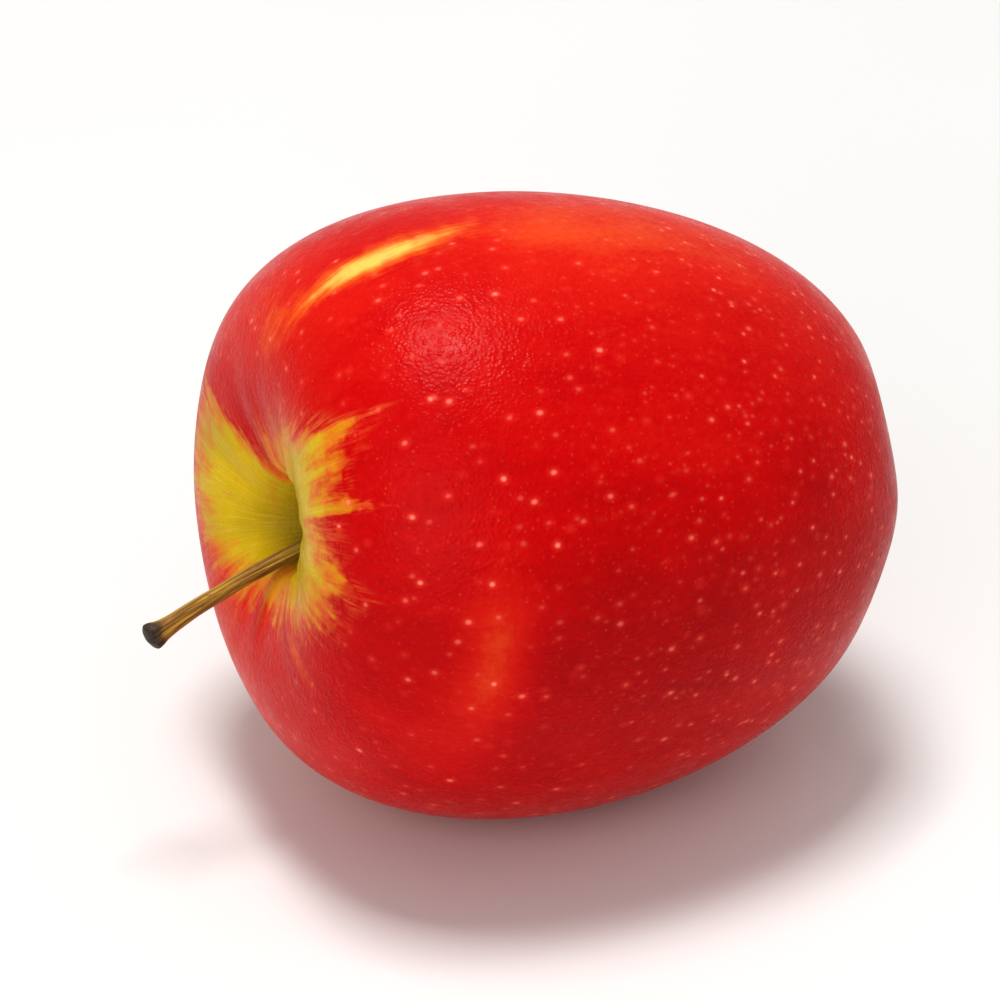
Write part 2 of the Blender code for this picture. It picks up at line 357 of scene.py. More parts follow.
def basin_height(radius):
    """Height of the eye basin's roof: one cosine dip."""
    part = (radius / BASE_RING) ** DIP_FLARE
    return -BASE_DROP + BASIN_DEPTH * (1 + np.cos(np.pi * part)) / 2


def outer_side(ring, height, fullness, turn):
    """A quarter of a superellipse, turn 0 at the widest circle, pi/2 at the rim."""
    radius = ring + (HALF_WIDTH - ring) * np.cos(turn) ** (2 / fullness)
    return radius, height * np.sin(turn) ** (2 / fullness)


def joined(first, *others):
    """Runs of numbers end to end; each starts where the one before stopped, told once."""
    return np.concatenate([first] + [run[1:] for run in others])


def section_line():
    """The half section from the cavity's middle over the outside into the eye tube.

    The tube's lip is a quarter round, and its wall narrows to a rounded end.
    Comes with the way along it, counted 0 to 1 up to the tube's edge.
    """
    quarter = np.linspace(0.0, QUARTER, 300)
    inner = np.linspace(0.0, SHOULDER_RING, 300)
    upper_r, upper_z = outer_side(SHOULDER_RING, SHOULDER_RISE, UPPER_FULLNESS, quarter[::-1])
    lower_r, lower_z = outer_side(BASE_RING, -BASE_DROP, LOWER_FULLNESS, quarter)
    roof = np.linspace(BASE_RING, TUBE_RADIUS + TUBE_LIP, 200)
    edge = basin_height(TUBE_RADIUS + TUBE_LIP)
    lip_r = TUBE_RADIUS + TUBE_LIP * (1 - np.sin(quarter))
    lip_z = edge + TUBE_LIP * (1 - np.cos(quarter))
    wall = np.linspace(0.0, QUARTER, 60)
    wall_r = TUBE_RADIUS * np.cos(wall) ** TUBE_ROUNDING
    wall_z = edge + TUBE_LIP + (TUBE_DEPTH - TUBE_LIP) * np.sin(wall)
    radius = joined(inner, upper_r, lower_r, roof, lip_r, wall_r)
    height = joined(cavity_height(inner), upper_z, lower_z, basin_height(roof), lip_z, wall_z)
    run = np.concatenate(([0.0], np.cumsum(np.hypot(np.diff(radius), np.diff(height)))))
    tube_edge = len(inner) + len(upper_r) + len(lower_r) + len(roof) - 4
    return radius, height, run / run[tube_edge]


def grown(points):
    """Bend upright points out of round.

    Five ridges swell towards the eye, one shoulder stands higher than the
    other, and the funnel round the stem slides off the middle.
    """
    x, y, z = points[..., 0], points[..., 1], points[..., 2]
    radius = np.hypot(x, y)
    wave = np.cos(LOBES * np.arctan2(y, x))
    below = np.clip(-z / BASE_DROP, 0.0, 1.0)
    above = np.clip(2 * z / SHOULDER_RISE, 0.0, 1.0)
    out = np.clip(radius / HALF_WIDTH, 0.0, 1.0) ** 2
    swell = 1 + wave * out * (LOBE_WAIST + (LOBE_BASE - LOBE_WAIST) * below ** 2)
    new_x = x * swell - CAVITY_SHIFT * bell(radius, 0.0, FUNNEL_RADIUS) * above
    bump = LOBE_BUMP * wave * bell(radius, BASE_RING, LOBE_RIM) * below ** 3
    new_z = z + SHOULDER_TILT * x * z / HALF_WIDTH - bump
    return np.stack((new_x, y * swell, new_z), axis=-1)


def leaned(points):
    """Turn upright points so the core line lies along X, the stem end raised."""
    rise = math.sin(LEAN)
    level = math.cos(LEAN)
    x, y, z = points[..., 0], points[..., 1], points[..., 2]
    return np.stack((rise * x - level * z, y, level * x + rise * z), axis=-1)


# ------------------------------------------------------------------ the fruit

def fruit_rows():
    """Rings of the fruit, with each point's angle (radians) and share of the way.

    The section is walked at even steps, a little closer at both ends.
    """
    rings, points = FRUIT_GRID
    radius, height, run = section_line()
    even = np.linspace(0.0, 1.0, rings + 2)[1:-1]
    crowding = 0.04
    share = (even - crowding * np.sin(2 * np.pi * even) / np.pi) * run[-1]
    along, around = np.meshgrid(share, np.arange(points) / points * 2 * np.pi, indexing="ij")
    at_radius = np.interp(along, run, radius)
    at_height = np.interp(along, run, height)
    upright = np.stack((at_radius * np.cos(around), at_radius * np.sin(around), at_height), axis=-1)
    return grown(upright), around, along


def uneven(around, along):
    """How far the skin stands off its even form, in metres.

    Slow swells all over, shallow ribs running down into the stem funnel, and
    fleshy puckers between the sepals round the eye.
    """
    body = np.sin(np.pi * np.clip(along, 0.0, 1.0))
    swell = SWELL_HEIGHT * waves(around, along, SWELLS) * body
    ribs = RIB_HEIGHT * waves(around, along, RIBS) * bell(along, RIB_WAY, RIB_LENGTH)
    pucker = PUCKER_HEIGHT * waves(around, along, PUCKERS)
    return swell + ribs + pucker * bell(along, PUCKER_WAY, PUCKER_LENGTH)


def blush_marks(around, along):
    """Where the red lies: cover (low on bare ground, high on red), depth of colour, streak.

    Cover climbs from the edge of the bare ground outwards and falls again
    beside the eye; the skin's rays break up its margin. Depth runs from
    orange through red to crimson. Both fall in the shaded patch behind.
    Streak is the narrow faded stripe over the upper shoulder.
    """
    degrees = (np.degrees(around) + 180) % 360 - 180
    bearings, reaches = zip(*BARE_REACH)
    behind = spread(degrees, 155, 40) * lasting(along, 0.26, 0.44, 0.66, 0.90)
    cover = (along - np.interp(degrees, bearings, reaches)) / BLUSH_MARGIN
    eye = (EYE_EDGE + EYE_SCALLOP * np.cos(LOBES * around) - along) / EYE_MARGIN
    cover = np.clip(np.minimum(cover, eye), BARE, FULL) - 3.9 * behind

    crown = spread(degrees, -3, 16) * lasting(along, 0.38, 0.48, 0.60, 0.80)
    depth = PLAIN_DEPTH + patches(degrees, along, DEPTH_PATCHES) - 0.24 * crown - 0.30 * behind
    depth = depth - 0.11 * spread(degrees, -4, 40) - 0.26 * spread(degrees, 155, 60)

    swerve = 0.5 + 0.9 * np.sin(30 * along)
    streak = spread(degrees, swerve, 3.6) * lasting(along, 0.225, 0.330, 0.335, 0.480)
    return cover, depth, streak + patches(degrees, along, STREAK_PATCHES)


def placed_fruit():
    """The fruit's mesh, set where the solid lies, and the move that took it there."""
    rows, around, along = fruit_rows()
    rows = leaned(rows)
    low, high = (np.array(corner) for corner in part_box("fruit"))
    own_low = rows.reshape(-1, 3).min(axis=0)
    own_high = rows.reshape(-1, 3).max(axis=0)
    shift = (low + high) / 2 - (own_low + own_high) / 2
    shift[2] = high[2] - own_high[2]
    rows = rows + normals_of(rows) * uneven(around, along)[..., None] + shift
    rows[..., 2] = np.maximum(rows[..., 2], 0.0)
    cover, depth, streak = blush_marks(around, along)
    marks = {
        "around": turn_marks(around, along),
        "cover": cover,
        "depth": depth,
        "streak": streak,
    }
    return closed_mesh("fruit_skin", rows, marks), shift


# ------------------------------------------------- stem and flower, as sweeps

def swept(path, around, across, thick, rough=1.0, crease=1.0, cup=0.0, twist=0.0, side=None):
    """Rings carried along a path.

    path is (rings, 3). Each ring is an ellipse of half width across and half
    thickness thick, with its sides bent up by cup and turned by twist round
    the path. rough scales the ring point by point, crease its thickness only.
    The width lies along side, or else level with the core line.
    """
    run = unit(np.gradient(path, axis=0))
    side = unit(np.cross(run, UPRIGHT_SIDE)) if side is None else np.broadcast_to(side, run.shape)
    face = unit(np.cross(side, run))
    turn = np.arange(around) / around * 2 * np.pi
    across, thick, cup, twist = (
        np.broadcast_to(size, len(path))[:, None] for size in (across, thick, cup, twist)
    )
    wide = np.cos(turn) * across * rough
    high = np.sin(turn) * thick * rough * crease + cup * np.cos(turn) ** 2
    a = wide * np.cos(twist) - high * np.sin(twist)
    b = wide * np.sin(twist) + high * np.cos(twist)
    return path[:, None, :] + a[..., None] * side[:, None, :] + b[..., None] * face[:, None, :]


def stem_rows():
    """The stem: a bent, ridged stalk with a dark, slanting knob.

    Its middle line drops away from the core line as a power of the way along.
    The radius falls from the root to the waist and swells again to the knob,
    smoothed by a running mean; ridges and a few lumps make the ring uneven.
    """
    rings, around = STEM_GRID
    share = np.linspace(-STEM_ROOT_DEPTH / STEM_REACH, 1.0, rings)
    drop = np.clip(share, 0.0, None) ** STEM_BEND
    floor = float(cavity_height(STEM_ROOT_RADIUS))
    path = np.stack((-STEM_DROOP * drop, STEM_SIDE * drop, floor + STEM_REACH * share), axis=1)
    reach = 5
    kernel = np.hanning(2 * reach + 1)
    radius = np.pad(STEM_RADIUS * np.interp(share, STEM_WAYS, STEM_SIZES), reach, mode="edge")
    radius = np.convolve(radius, kernel / kernel.sum(), mode="valid")
    rounded = ((share - KNOB_SHOULDER) / KNOB_ROUNDING).clip(0)
    radius = radius * np.sqrt(np.clip(1 - rounded ** 2, 0.02, 1))
    turn = np.arange(around) / around * 2 * np.pi
    way = share[:, None]
    lump = 0.16 * bell(way, 0.47, 0.020) * np.clip(np.cos(turn - 1.0), 0, None)
    foot = bell(way, 0.970, 0.032) * waves(turn, way, KNOB_LUMPS)
    rough = 1 + waves(turn, way, STEM_RIDGES) + lump + foot
    return swept(path, around, radius, radius, rough), turn_marks(turn, way)


def sepal_rows(index):
    """One dried sepal: a leaf that stands up, narrows, cups and rolls outwards.

    The lean of its middle line grows as a power of the way along, and the
    line is the running sum of that lean. Its edge is ragged, and the tip
    twists.
    """
    rings, around = SEPAL_GRID
    share = np.linspace(0.0, 1.0, rings)
    curl = SEPAL_CURL * (0.90 + 0.35 * math.cos(2.4 * index))
    lean = curl * share ** 2.2 - SEPAL_INLEAN
    stride = SEPAL_LENGTH / rings
    out = SEPAL_RING + np.cumsum(np.sin(lean)) * stride
    up = np.cumsum(np.cos(lean)) * stride
    ragged = 1 + 0.07 * np.sin(17 * share + index) + 0.05 * np.sin(41 * share + 2 * index)
    half = SEPAL_WIDTH / 2 * (1 - share ** 1.6) ** 0.8 * (1 + 0.25 * share) + SEPAL_TIP
    half = half * ragged
    foot = float(basin_height(SEPAL_RING)) + SEPAL_FOOT
    bearing = 2 * math.pi * (index + 0.5) / SEPALS
    path = np.stack((out * math.cos(bearing), out * math.sin(bearing), foot - up), axis=1)
    thick = SEPAL_THICKNESS / 2 * (1 - 0.6 * share)
    turn = np.arange(around) / around * 2 * np.pi
    crease = 1 + 0.35 * np.sin(3 * turn + 9 * share[:, None]) * np.abs(np.sin(turn))
    sideways = np.array((-math.sin(bearing), math.cos(bearing), 0.0))
    twist = 0.5 * share ** 2 * math.cos(index * 1.7)
    rows = swept(
        path, around, half, thick, crease=crease, cup=-0.30 * half, twist=twist, side=sideways
    )
    return rows, turn_marks(turn, share[:, None])


def thread_rows(ring, bearing, reach, swing, sizes):
    """A dried thread out of the eye tube: it rises, leans out and ends in a head.

    ring is how far from the core line it stands, reach its length, swing how
    far its bearing drifts, and sizes its radius along it.
    """
    rings, around = THREAD_GRID
    share = np.linspace(0.0, 1.0, rings)
    bottom = float(basin_height(TUBE_RADIUS)) + TUBE_DEPTH - THREAD_ROOT
    away = ring * (1 + 0.16 * share ** 2) + THREAD_WOBBLE * np.sin(14 * share + 5 * bearing)
    drift = bearing + swing * share
    path = np.stack((away * np.cos(drift), away * np.sin(drift), bottom - reach * share), axis=1)
    radius = np.interp(share, np.linspace(0, 1, len(sizes)), sizes)
    turn = np.arange(around) / around * 2 * np.pi
    rough = 1 + 0.12 * np.sin(3 * turn + 16 * share[:, None])
    return swept(path, around, radius, radius, rough), turn_marks(turn, share[:, None])


# -------------------------------------------------------------- shader nodes

VECTOR, NUMBER = "NodeSocketVector", "NodeSocketFloat"


def put(tree, kind, inputs=None, **settings):
    """Add a node. settings are its own properties; inputs maps a socket to a value or a link."""
    made = tree.nodes.new(kind)
    for key, value in settings.items():
        setattr(made, key, value)
    for socket, value in (inputs or {}).items():
        if isinstance(value, bpy.types.NodeSocket):
            tree.links.new(value, made.inputs[socket])
        else:
            made.inputs[socket].default_value = value
    return made


def calc(tree, operation, a, b=0.0, c=0.0):
    """A Math node's result."""
    return put(tree, "ShaderNodeMath", {0: a, 1: b, 2: c}, operation=operation).outputs[0]


def combine(tree, operation, a, b):
    """A Vector Math node's vector."""
    return put(tree, "ShaderNodeVectorMath", {0: a, 1: b}, operation=operation).outputs[0]


def noise(tree, vector, scale, detail=2.0, roughness=0.5):
    """A Noise Texture's value, about 0.5 on average."""
    inputs = {"Vector": vector, "Scale": scale, "Detail": detail, "Roughness": roughness}
    return put(tree, "ShaderNodeTexNoise", inputs).outputs["Fac"]


def cells(tree, place, density):
    """Scattered points, density to the metre: each spot's distance and its point's own colour."""
    inputs = {"Vector": place, "Scale": density, "Randomness": 1.0}
    made = put(tree, "ShaderNodeTexVoronoi", inputs, feature="F1")
    return made.outputs["Distance"], made.outputs["Color"]


def fade(tree, value, low, high, to_low=0.0, to_high=1.0):
    """value carried from low..high to to_low..to_high along an S curve."""
    inputs = {"Value": value, 1: low, 2: high, 3: to_low, 4: to_high}
    return put(tree, "ShaderNodeMapRange", inputs, interpolation_type="SMOOTHSTEP").outputs[0]


def stirred(tree, value, *patterns):
    """value moved up and down by patterns that average one half, each by its own amount."""
    for pattern, amount in patterns:
        value = calc(tree, "MULTIPLY_ADD", calc(tree, "SUBTRACT", pattern, 0.5), amount, value)
    return value


def tint(tree, factor, a, b):
    """Two colours mixed."""
    return put(tree, "ShaderNodeMix", {0: factor, 6: a, 7: b}, data_type="RGBA").outputs[2]


def colour(red, green, blue):
    """A display colour, 0 to 255 a part, as the linear colour that shaders take."""
    parts = np.array((red, green, blue)) / 255
    linear = np.where(parts <= 0.04045, parts / 12.92, ((parts + 0.055) / 1.055) ** 2.4)
    return (*linear.tolist(), 1.0)


def ramp(tree, value, stops):
    """A colour ramp through stops of (place, colour)."""
    made = put(tree, "ShaderNodeValToRGB", {0: value})
    points = made.color_ramp.elements
    while len(points) < len(stops):
        points.new(0.5)
    for point, (place, shade) in zip(points, stops):
        point.position = place
        point.color = shade
    return made.outputs[0]


def group(name, inputs, outputs):
    """A new shader node group with its in and out nodes.

    inputs maps a name to (socket kind, default), outputs a name to its kind.
    """
    tree = bpy.data.node_groups.new(name, "ShaderNodeTree")
    for label, (kind, default) in inputs.items():
        socket = tree.interface.new_socket(label, in_out="INPUT", socket_type=kind)
        if default is not None:
            socket.default_value = default
    for label, kind in outputs.items():
        tree.interface.new_socket(label, in_out="OUTPUT", socket_type=kind)
    return tree, tree.nodes.new("NodeGroupInput").outputs, tree.nodes.new("NodeGroupOutput").inputs


def use(tree, what, **inputs):
    """Place a node group in a material with its own values."""
    return put(tree, "ShaderNodeGroup", inputs, node_tree=what).outputs


def growth_streaks():
    """Lines that run with the growth: noise drawn out along the way from end to end.

    Around is the piece's own mark: the cosine and sine of the angle round it
    and the share of the way along it.
    """
    tree, given, result = group(
        "growth streaks",
        {
            "Around": (VECTOR, None), "Count": (NUMBER, 10.0),
            "Break": (NUMBER, 3.0), "Seed": (NUMBER, 0.0),
        },
        {"Value": NUMBER},
    )
    sizes = {0: given["Count"], 1: given["Count"], 2: given["Break"]}
    scale = put(tree, "ShaderNodeCombineXYZ", sizes).outputs[0]
    lines = combine(tree, "MULTIPLY", given["Around"], scale)
    moved = combine(tree, "ADD", lines, given["Seed"])
    tree.links.new(noise(tree, moved, 1.0, 3.0, 0.55), result["Value"])
    return tree


def lenticel_dots():
    """Pale dots where a scattered point lies near the skin, each its own strength.

    Core is the dot, Halo the soft ring of thin colour round it.
    """
    tree, given, result = group(
        "lenticel dots",
        {"Place": (VECTOR, None), "Density": (NUMBER, 500.0), "Size": (NUMBER, 0.15)},
        {"Core": NUMBER, "Halo": NUMBER},
    )
    distance, shade = cells(tree, given["Place"], given["Density"])
    luck = put(tree, "ShaderNodeSeparateColor", {0: shade}).outputs[0]
    part = calc(tree, "DIVIDE", distance, given["Size"])
    strength = calc(tree, "MULTIPLY_ADD", calc(tree, "POWER", luck, 1.6), 0.80, 0.20)
    core = calc(tree, "MULTIPLY", fade(tree, part, 0.10, 1.10, 1.0, 0.0), strength)
    halo = calc(tree, "MULTIPLY", fade(tree, part, 0.3, 2.3, 1.0, 0.0), strength)
    tree.links.new(core, result["Core"])
    tree.links.new(halo, result["Halo"])
    return tree


def bold_dot():
    """One bold lenticel at a given place in the piece's own mark.

    The way along is stretched to the scale of the turn, so the dot is round.
    """
    tree, given, result = group(
        "bold lenticel",
        {"Around": (VECTOR, None), "Centre": (VECTOR, None), "Size": (NUMBER, 0.013)},
        {"Core": NUMBER, "Halo": NUMBER},
    )
    gap = combine(tree, "SUBTRACT", given["Around"], given["Centre"])
    even = combine(tree, "MULTIPLY", gap, (1.0, 1.0, WAY_TO_TURN))
    away = put(tree, "ShaderNodeVectorMath", {0: even}, operation="LENGTH").outputs["Value"]
    part = calc(tree, "DIVIDE", away, given["Size"])
    tree.links.new(fade(tree, part, 0.15, 1.0, 1.0, 0.0), result["Core"])
    tree.links.new(fade(tree, part, 0.3, 2.2, 1.0, 0.0), result["Halo"])
    return tree


def pebbled_wax():
    """The height of a waxy skin: small round pebbles, uneven in size, over soft dents."""
    tree, given, result = group(
        "pebbled wax",
        {"Place": (VECTOR, None), "Density": (NUMBER, 1700.0)},
        {"Height": NUMBER},
    )
    wander = noise(tree, given["Place"], 900.0)
    mound = fade(tree, cells(tree, given["Place"], given["Density"])[0], 0.05, 0.85, 1.0, 0.0)
    size = fade(tree, wander, 0.35, 0.65, 0.35, 1.0)
    height = calc(tree, "MULTIPLY_ADD", mound, size, calc(tree, "MULTIPLY", wander, 0.8))
    tree.links.new(height, result["Height"])
    return tree


def new_material(name):
    """An empty material; returns it with its tree, its shader and its own coordinates."""
    material = bpy.data.materials.new(name)
    material.use_nodes = True
    tree = material.node_tree
    tree.nodes.clear()
    shader = put(tree, "ShaderNodeBsdfPrincipled")
    put(tree, "ShaderNodeOutputMaterial", {"Surface": shader.outputs[0]})
    place = put(tree, "ShaderNodeTexCoord").outputs["Object"]
    return material, tree, shader, place


def finish_shader(tree, shader, base, roughness, height, relief, **constants):
    """Feed the shader its colour, its roughness and a height, in parts of relief.

    constants are the shader's own sockets that are the same all over.
    """
    bump = put(tree, "ShaderNodeBump", {"Height": height, "Strength": 1.0, "Distance": relief})
    tree.links.new(base, shader.inputs["Base Color"])
    tree.links.new(roughness, shader.inputs["Roughness"])
    tree.links.new(bump.outputs[0], shader.inputs["Normal"])
    for label, value in constants.items():
        shader.inputs[label.replace("_", " ")].default_value = value


def mark_of(tree, name, output):
    """One of the piece's own marks."""
    return put(tree, "ShaderNodeAttribute", attribute_name=name).outputs[output]


def growth_lines(tree, streaks, around, count, breaks, seed):
    """Growth streaks: how many round, how often they break, and a seed."""
    return use(tree, streaks, Around=around, Count=count, Break=breaks, Seed=seed)[0]


# ------------------------------------------------------------------ the skin

LARGE_DENSITY, LARGE_SIZE = 430.0, 0.175
SMALL_DENSITY, SMALL_SIZE = 640.0, 0.200
SPECK_DENSITY, SPECK_SIZE = 1150.0, 0.28
PEBBLE_DENSITY = 2100.0
SKIN_RELIEF = 0.000052
STEM_RELIEF = 0.00018
DRY_RELIEF = 0.00012

BLUSH_REDS = (
    (0.00, colour(234, 120, 44)),
    (0.14, colour(222, 76, 30)),
    (0.34, colour(208, 30, 16)),
    (0.56, colour(190, 7, 10)),
    (0.78, colour(162, 3, 8)),
    (1.00, colour(122, 2, 7)),
)


def skin_patterns(tree, streaks, place):
    """What the skin's colours are laid out by: the fruit's own marks, growth lines and noises."""
    around = mark_of(tree, "around", "Vector")
    parts = put(tree, "ShaderNodeSeparateXYZ", {0: around}).outputs
    return SimpleNamespace(
        around=around,
        upward=parts[0],
        along=parts[2],
        cover=mark_of(tree, "cover", "Fac"),
        depth=mark_of(tree, "depth", "Fac"),
        streak=mark_of(tree, "streak", "Fac"),
        wide=growth_lines(tree, streaks, around, 7.0, 4.0, 3.1),
        rays=growth_lines(tree, streaks, around, 17.0, 16.0, 8.7),
        fine=growth_lines(tree, streaks, around, 45.0, 26.0, 1.9),
        hair=growth_lines(tree, streaks, around, 78.0, 22.0, 5.3),
        cloud=noise(tree, place, 90.0, 3.0),
        blot=noise(tree, place, 420.0),
        grain=noise(tree, place, 1300.0),
    )


def ground_colour(tree, by, ragged):
    """Yellow ground: painted shade deep in the funnel, where it darkens to olive; russet at the eye,
    warm where the blush begins.
    """
    ochre, yellow, straw = colour(188, 158, 10), colour(208, 174, 20), colour(236, 208, 92)
    olive, rust, russet = colour(120, 98, 8), colour(206, 96, 36), colour(126, 92, 36)
    ground = tint(tree, fade(tree, by.cloud, 0.35, 0.65), ochre, yellow)
    # Painted shade: the ground darkens to olive towards the bottom of the stem funnel.
    ground = tint(tree, fade(tree, by.along, 0.03, 0.13, 0.80, 0.0), ground, olive)
    ground = tint(tree, fade(tree, by.hair, 0.50, 0.72, 0.0, 0.35), ground, straw)
    ground = tint(tree, fade(tree, by.blot, 0.54, 0.72, 0.0, 0.18), ground, rust)
    near_eye = fade(tree, by.along, 0.955, 1.0)
    patchy = calc(tree, "MULTIPLY", near_eye, fade(tree, by.blot, 0.38, 0.60, 0.25, 0.85))
    ground = tint(tree, patchy, ground, russet)
    return tint(tree, fade(tree, ragged, -2.0, 0.0, 0.0, 0.78), ground, colour(218, 104, 30))


def blush_colour(tree, by):
    """The red by its depth, with pale hairs that run out of the bare ground and over faded skin."""
    deep = stirred(
        tree, by.depth,
        (by.wide, 0.20), (by.rays, 0.09), (by.fine, 0.05), (by.cloud, 0.26), (by.grain, 0.16),
    )
    outrun = fade(tree, by.cover, 0.1, 1.6, 0.50, 0.0)
    faded = fade(tree, by.depth, 0.12, 0.38, 0.18, 0.0)
    lines = fade(tree, stirred(tree, by.fine, (by.hair, 0.5), (by.blot, 0.7)), 0.50, 0.72)
    hairs = calc(tree, "MULTIPLY", lines, calc(tree, "MAXIMUM", outrun, faded))
    return tint(tree, hairs, ramp(tree, deep, BLUSH_REDS), colour(234, 118, 58))


def upper_rim(tree, by, skin):
    """Pale hairs where the upper shoulder rolls into the stem cavity."""
    rolling = fade(tree, by.cover, 1.8, -0.4)
    pale = calc(tree, "MULTIPLY", rolling, fade(tree, by.upward, 0.70, 0.95, 0.0, 0.50))
    hairs = fade(tree, stirred(tree, by.fine, (by.hair, 0.6)), 0.42, 0.62)
    return tint(tree, calc(tree, "MULTIPLY", pale, hairs), skin, colour(232, 166, 92))


def faded_streak(tree, by, skin):
    """The stripe over the upper shoulder: orange at its ragged edge, yellow in the middle."""
    stripe = stirred(tree, by.streak, (by.hair, 0.60), (by.blot, 0.60))
    inside = fade(tree, by.streak, 0.0, 0.12)
    glow = calc(tree, "MULTIPLY", fade(tree, stripe, 0.02, 0.66, 0.0, 0.90), inside)
    skin = tint(tree, glow, skin, colour(236, 112, 34))
    return tint(tree, fade(tree, stripe, 0.42, 1.00, 0.0, 0.88), skin, colour(248, 198, 96))


def lenticels(tree, by, place, dots, bold, skin):
    """Lenticels: large and far apart by the stem, small and close towards the eye.

    Gives the skin with them, and where their cores lie.
    """
    drawn = combine(tree, "MULTIPLY", place, (0.78, 1.0, 1.0))
    large = use(tree, dots, Place=drawn, Density=LARGE_DENSITY, Size=LARGE_SIZE)
    small = use(tree, dots, Place=drawn, Density=SMALL_DENSITY, Size=SMALL_SIZE)
    specks = use(tree, dots, Place=place, Density=SPECK_DENSITY, Size=SPECK_SIZE)
    near_eye = fade(tree, by.along, 0.40, 0.70)
    outside = fade(tree, by.along, 0.15, 0.23)
    core = calc(tree, "MULTIPLY", large["Core"], fade(tree, by.along, 0.45, 0.85, 1.0, 0.55))
    core = calc(tree, "MAXIMUM", core, calc(tree, "MULTIPLY", small["Core"], near_eye))
    halo = calc(tree, "MAXIMUM", large["Halo"], calc(tree, "MULTIPLY", small["Halo"], near_eye))
    core = calc(tree, "MULTIPLY", core, outside)
    halo = calc(tree, "MULTIPLY", halo, outside)
    for bearing, way in BOLD_LENTICELS:
        turn = math.radians(bearing)
        spot = use(tree, bold, Around=by.around, Centre=(math.cos(turn), math.sin(turn), way))
        core = calc(tree, "MAXIMUM", core, spot["Core"])
        halo = calc(tree, "MAXIMUM", halo, spot["Halo"])
    skin = tint(tree, calc(tree, "MULTIPLY", specks["Core"], 0.26), skin, colour(240, 92, 70))
    skin = tint(tree, calc(tree, "MULTIPLY", halo, 0.42), skin, colour(232, 66, 52))
    return tint(tree, calc(tree, "MULTIPLY", core, 0.80), skin, colour(255, 144, 118)), core


def skin_material(streaks, dots, bold, wax):
    """Waxy skin: yellow ground, red blush in growth streaks, pale lenticels.

    The wax is slightly uneven in gloss and pebbled more finely than a lenticel.
    """
    material, tree, shader, place = new_material("apple_skin")
    by = skin_patterns(tree, streaks, place)
    ragged = stirred(
        tree, by.cover,
        (by.rays, 2.2), (by.wide, 1.8), (by.fine, 1.8), (by.hair, 0.5), (by.blot, 2.4),
    )
    veil = fade(tree, ragged, -0.45, 0.55)
    skin = tint(tree, veil, ground_colour(tree, by, ragged), blush_colour(tree, by))
    skin = faded_streak(tree, by, upper_rim(tree, by, skin))
    tube = fade(tree, by.along, 1.0, 1.03, 0.0, 0.9)
    skin = tint(tree, tube, skin, colour(66, 46, 24))
    skin, core = lenticels(tree, by, place, dots, bold, skin)
    gloss = fade(tree, noise(tree, place, 260.0, 3.0), 0.3, 0.7, 0.24, 0.36)
    pebble = use(tree, wax, Place=place, Density=PEBBLE_DENSITY)["Height"]
    finish_shader(
        tree, shader, skin,
        roughness=calc(tree, "MULTIPLY_ADD", core, 0.2, gloss),
        height=calc(tree, "MULTIPLY_ADD", core, 0.5, pebble),
        relief=SKIN_RELIEF,
        Specular_IOR_Level=0.075,
        Subsurface_Weight=0.05,
        Subsurface_Radius=(1.0, 0.25, 0.10),
        Subsurface_Scale=0.002,
    )
    return material


# ------------------------------------------------------------ other finishes

def stem_material(streaks):
    """Dry stalk: olive at the root, brown along the ridges, nearly black at the knob."""
    brown, tan, straw = colour(122, 80, 24), colour(184, 142, 44), colour(198, 160, 60)
    groove, olive, blotched = colour(84, 50, 16), colour(160, 146, 40), colour(92, 54, 20)
    char, ash = colour(50, 36, 26), colour(118, 100, 82)
    material, tree, shader, place = new_material("stem_bark")
    around = mark_of(tree, "around", "Vector")
    along = put(tree, "ShaderNodeSeparateXYZ", {0: around}).outputs[2]
    lines = growth_lines(tree, streaks, around, 2.6, 3.5, 4.0)
    fibre = growth_lines(tree, streaks, around, 8.0, 8.0, 7.7)
    blotch = noise(tree, place, 700.0, 3.0, 0.6)
    bark = tint(tree, fade(tree, lines, 0.40, 0.60), brown, tan)
    bark = tint(tree, fade(tree, fibre, 0.52, 0.70, 0.0, 0.55), bark, straw)
    bark = tint(tree, fade(tree, fibre, 0.44, 0.30, 0.0, 0.70), bark, groove)
    bark = tint(tree, fade(tree, along, 0.05, 0.45, 0.60, 0.0), bark, olive)
    bark = tint(tree, fade(tree, blotch, 0.60, 0.72, 0.0, 0.55), bark, blotched)
    ragged = stirred(tree, along, (blotch, 0.10))
    bark = tint(tree, fade(tree, ragged, 0.905, 0.965), bark, char)
    knob = calc(tree, "MULTIPLY", fade(tree, ragged, 0.93, 0.99), fade(tree, blotch, 0.48, 0.6))
    bark = tint(tree, calc(tree, "MULTIPLY", knob, 0.40), bark, ash)
    finish_shader(
        tree, shader, bark,
        roughness=fade(tree, fibre, 0.3, 0.7, 0.78, 0.48),
        height=calc(tree, "MULTIPLY_ADD", blotch, 0.6, fibre),
        relief=STEM_RELIEF,
    )
    return material


def dry_material(name, streaks, dark, pale, down):
    """Dead flower tissue: dark, lined along its length, with a bloom of pale down."""
    material, tree, shader, place = new_material(name)
    lines = growth_lines(tree, streaks, mark_of(tree, "around", "Vector"), 4.0, 6.0, 2.4)
    mottle = noise(tree, place, 1100.0, 3.0, 0.6)
    tissue = tint(tree, fade(tree, lines, 0.35, 0.65), dark, pale)
    finish_shader(
        tree, shader, tint(tree, fade(tree, mottle, 0.52, 0.68, 0.0, 0.7), tissue, down),
        roughness=fade(tree, mottle, 0.3, 0.7, 0.95, 0.7),
        height=calc(tree, "ADD", lines, mottle),
        relief=DRY_RELIEF,
        Sheen_Weight=0.12,
        Specular_IOR_Level=0.25,
    )
    return material


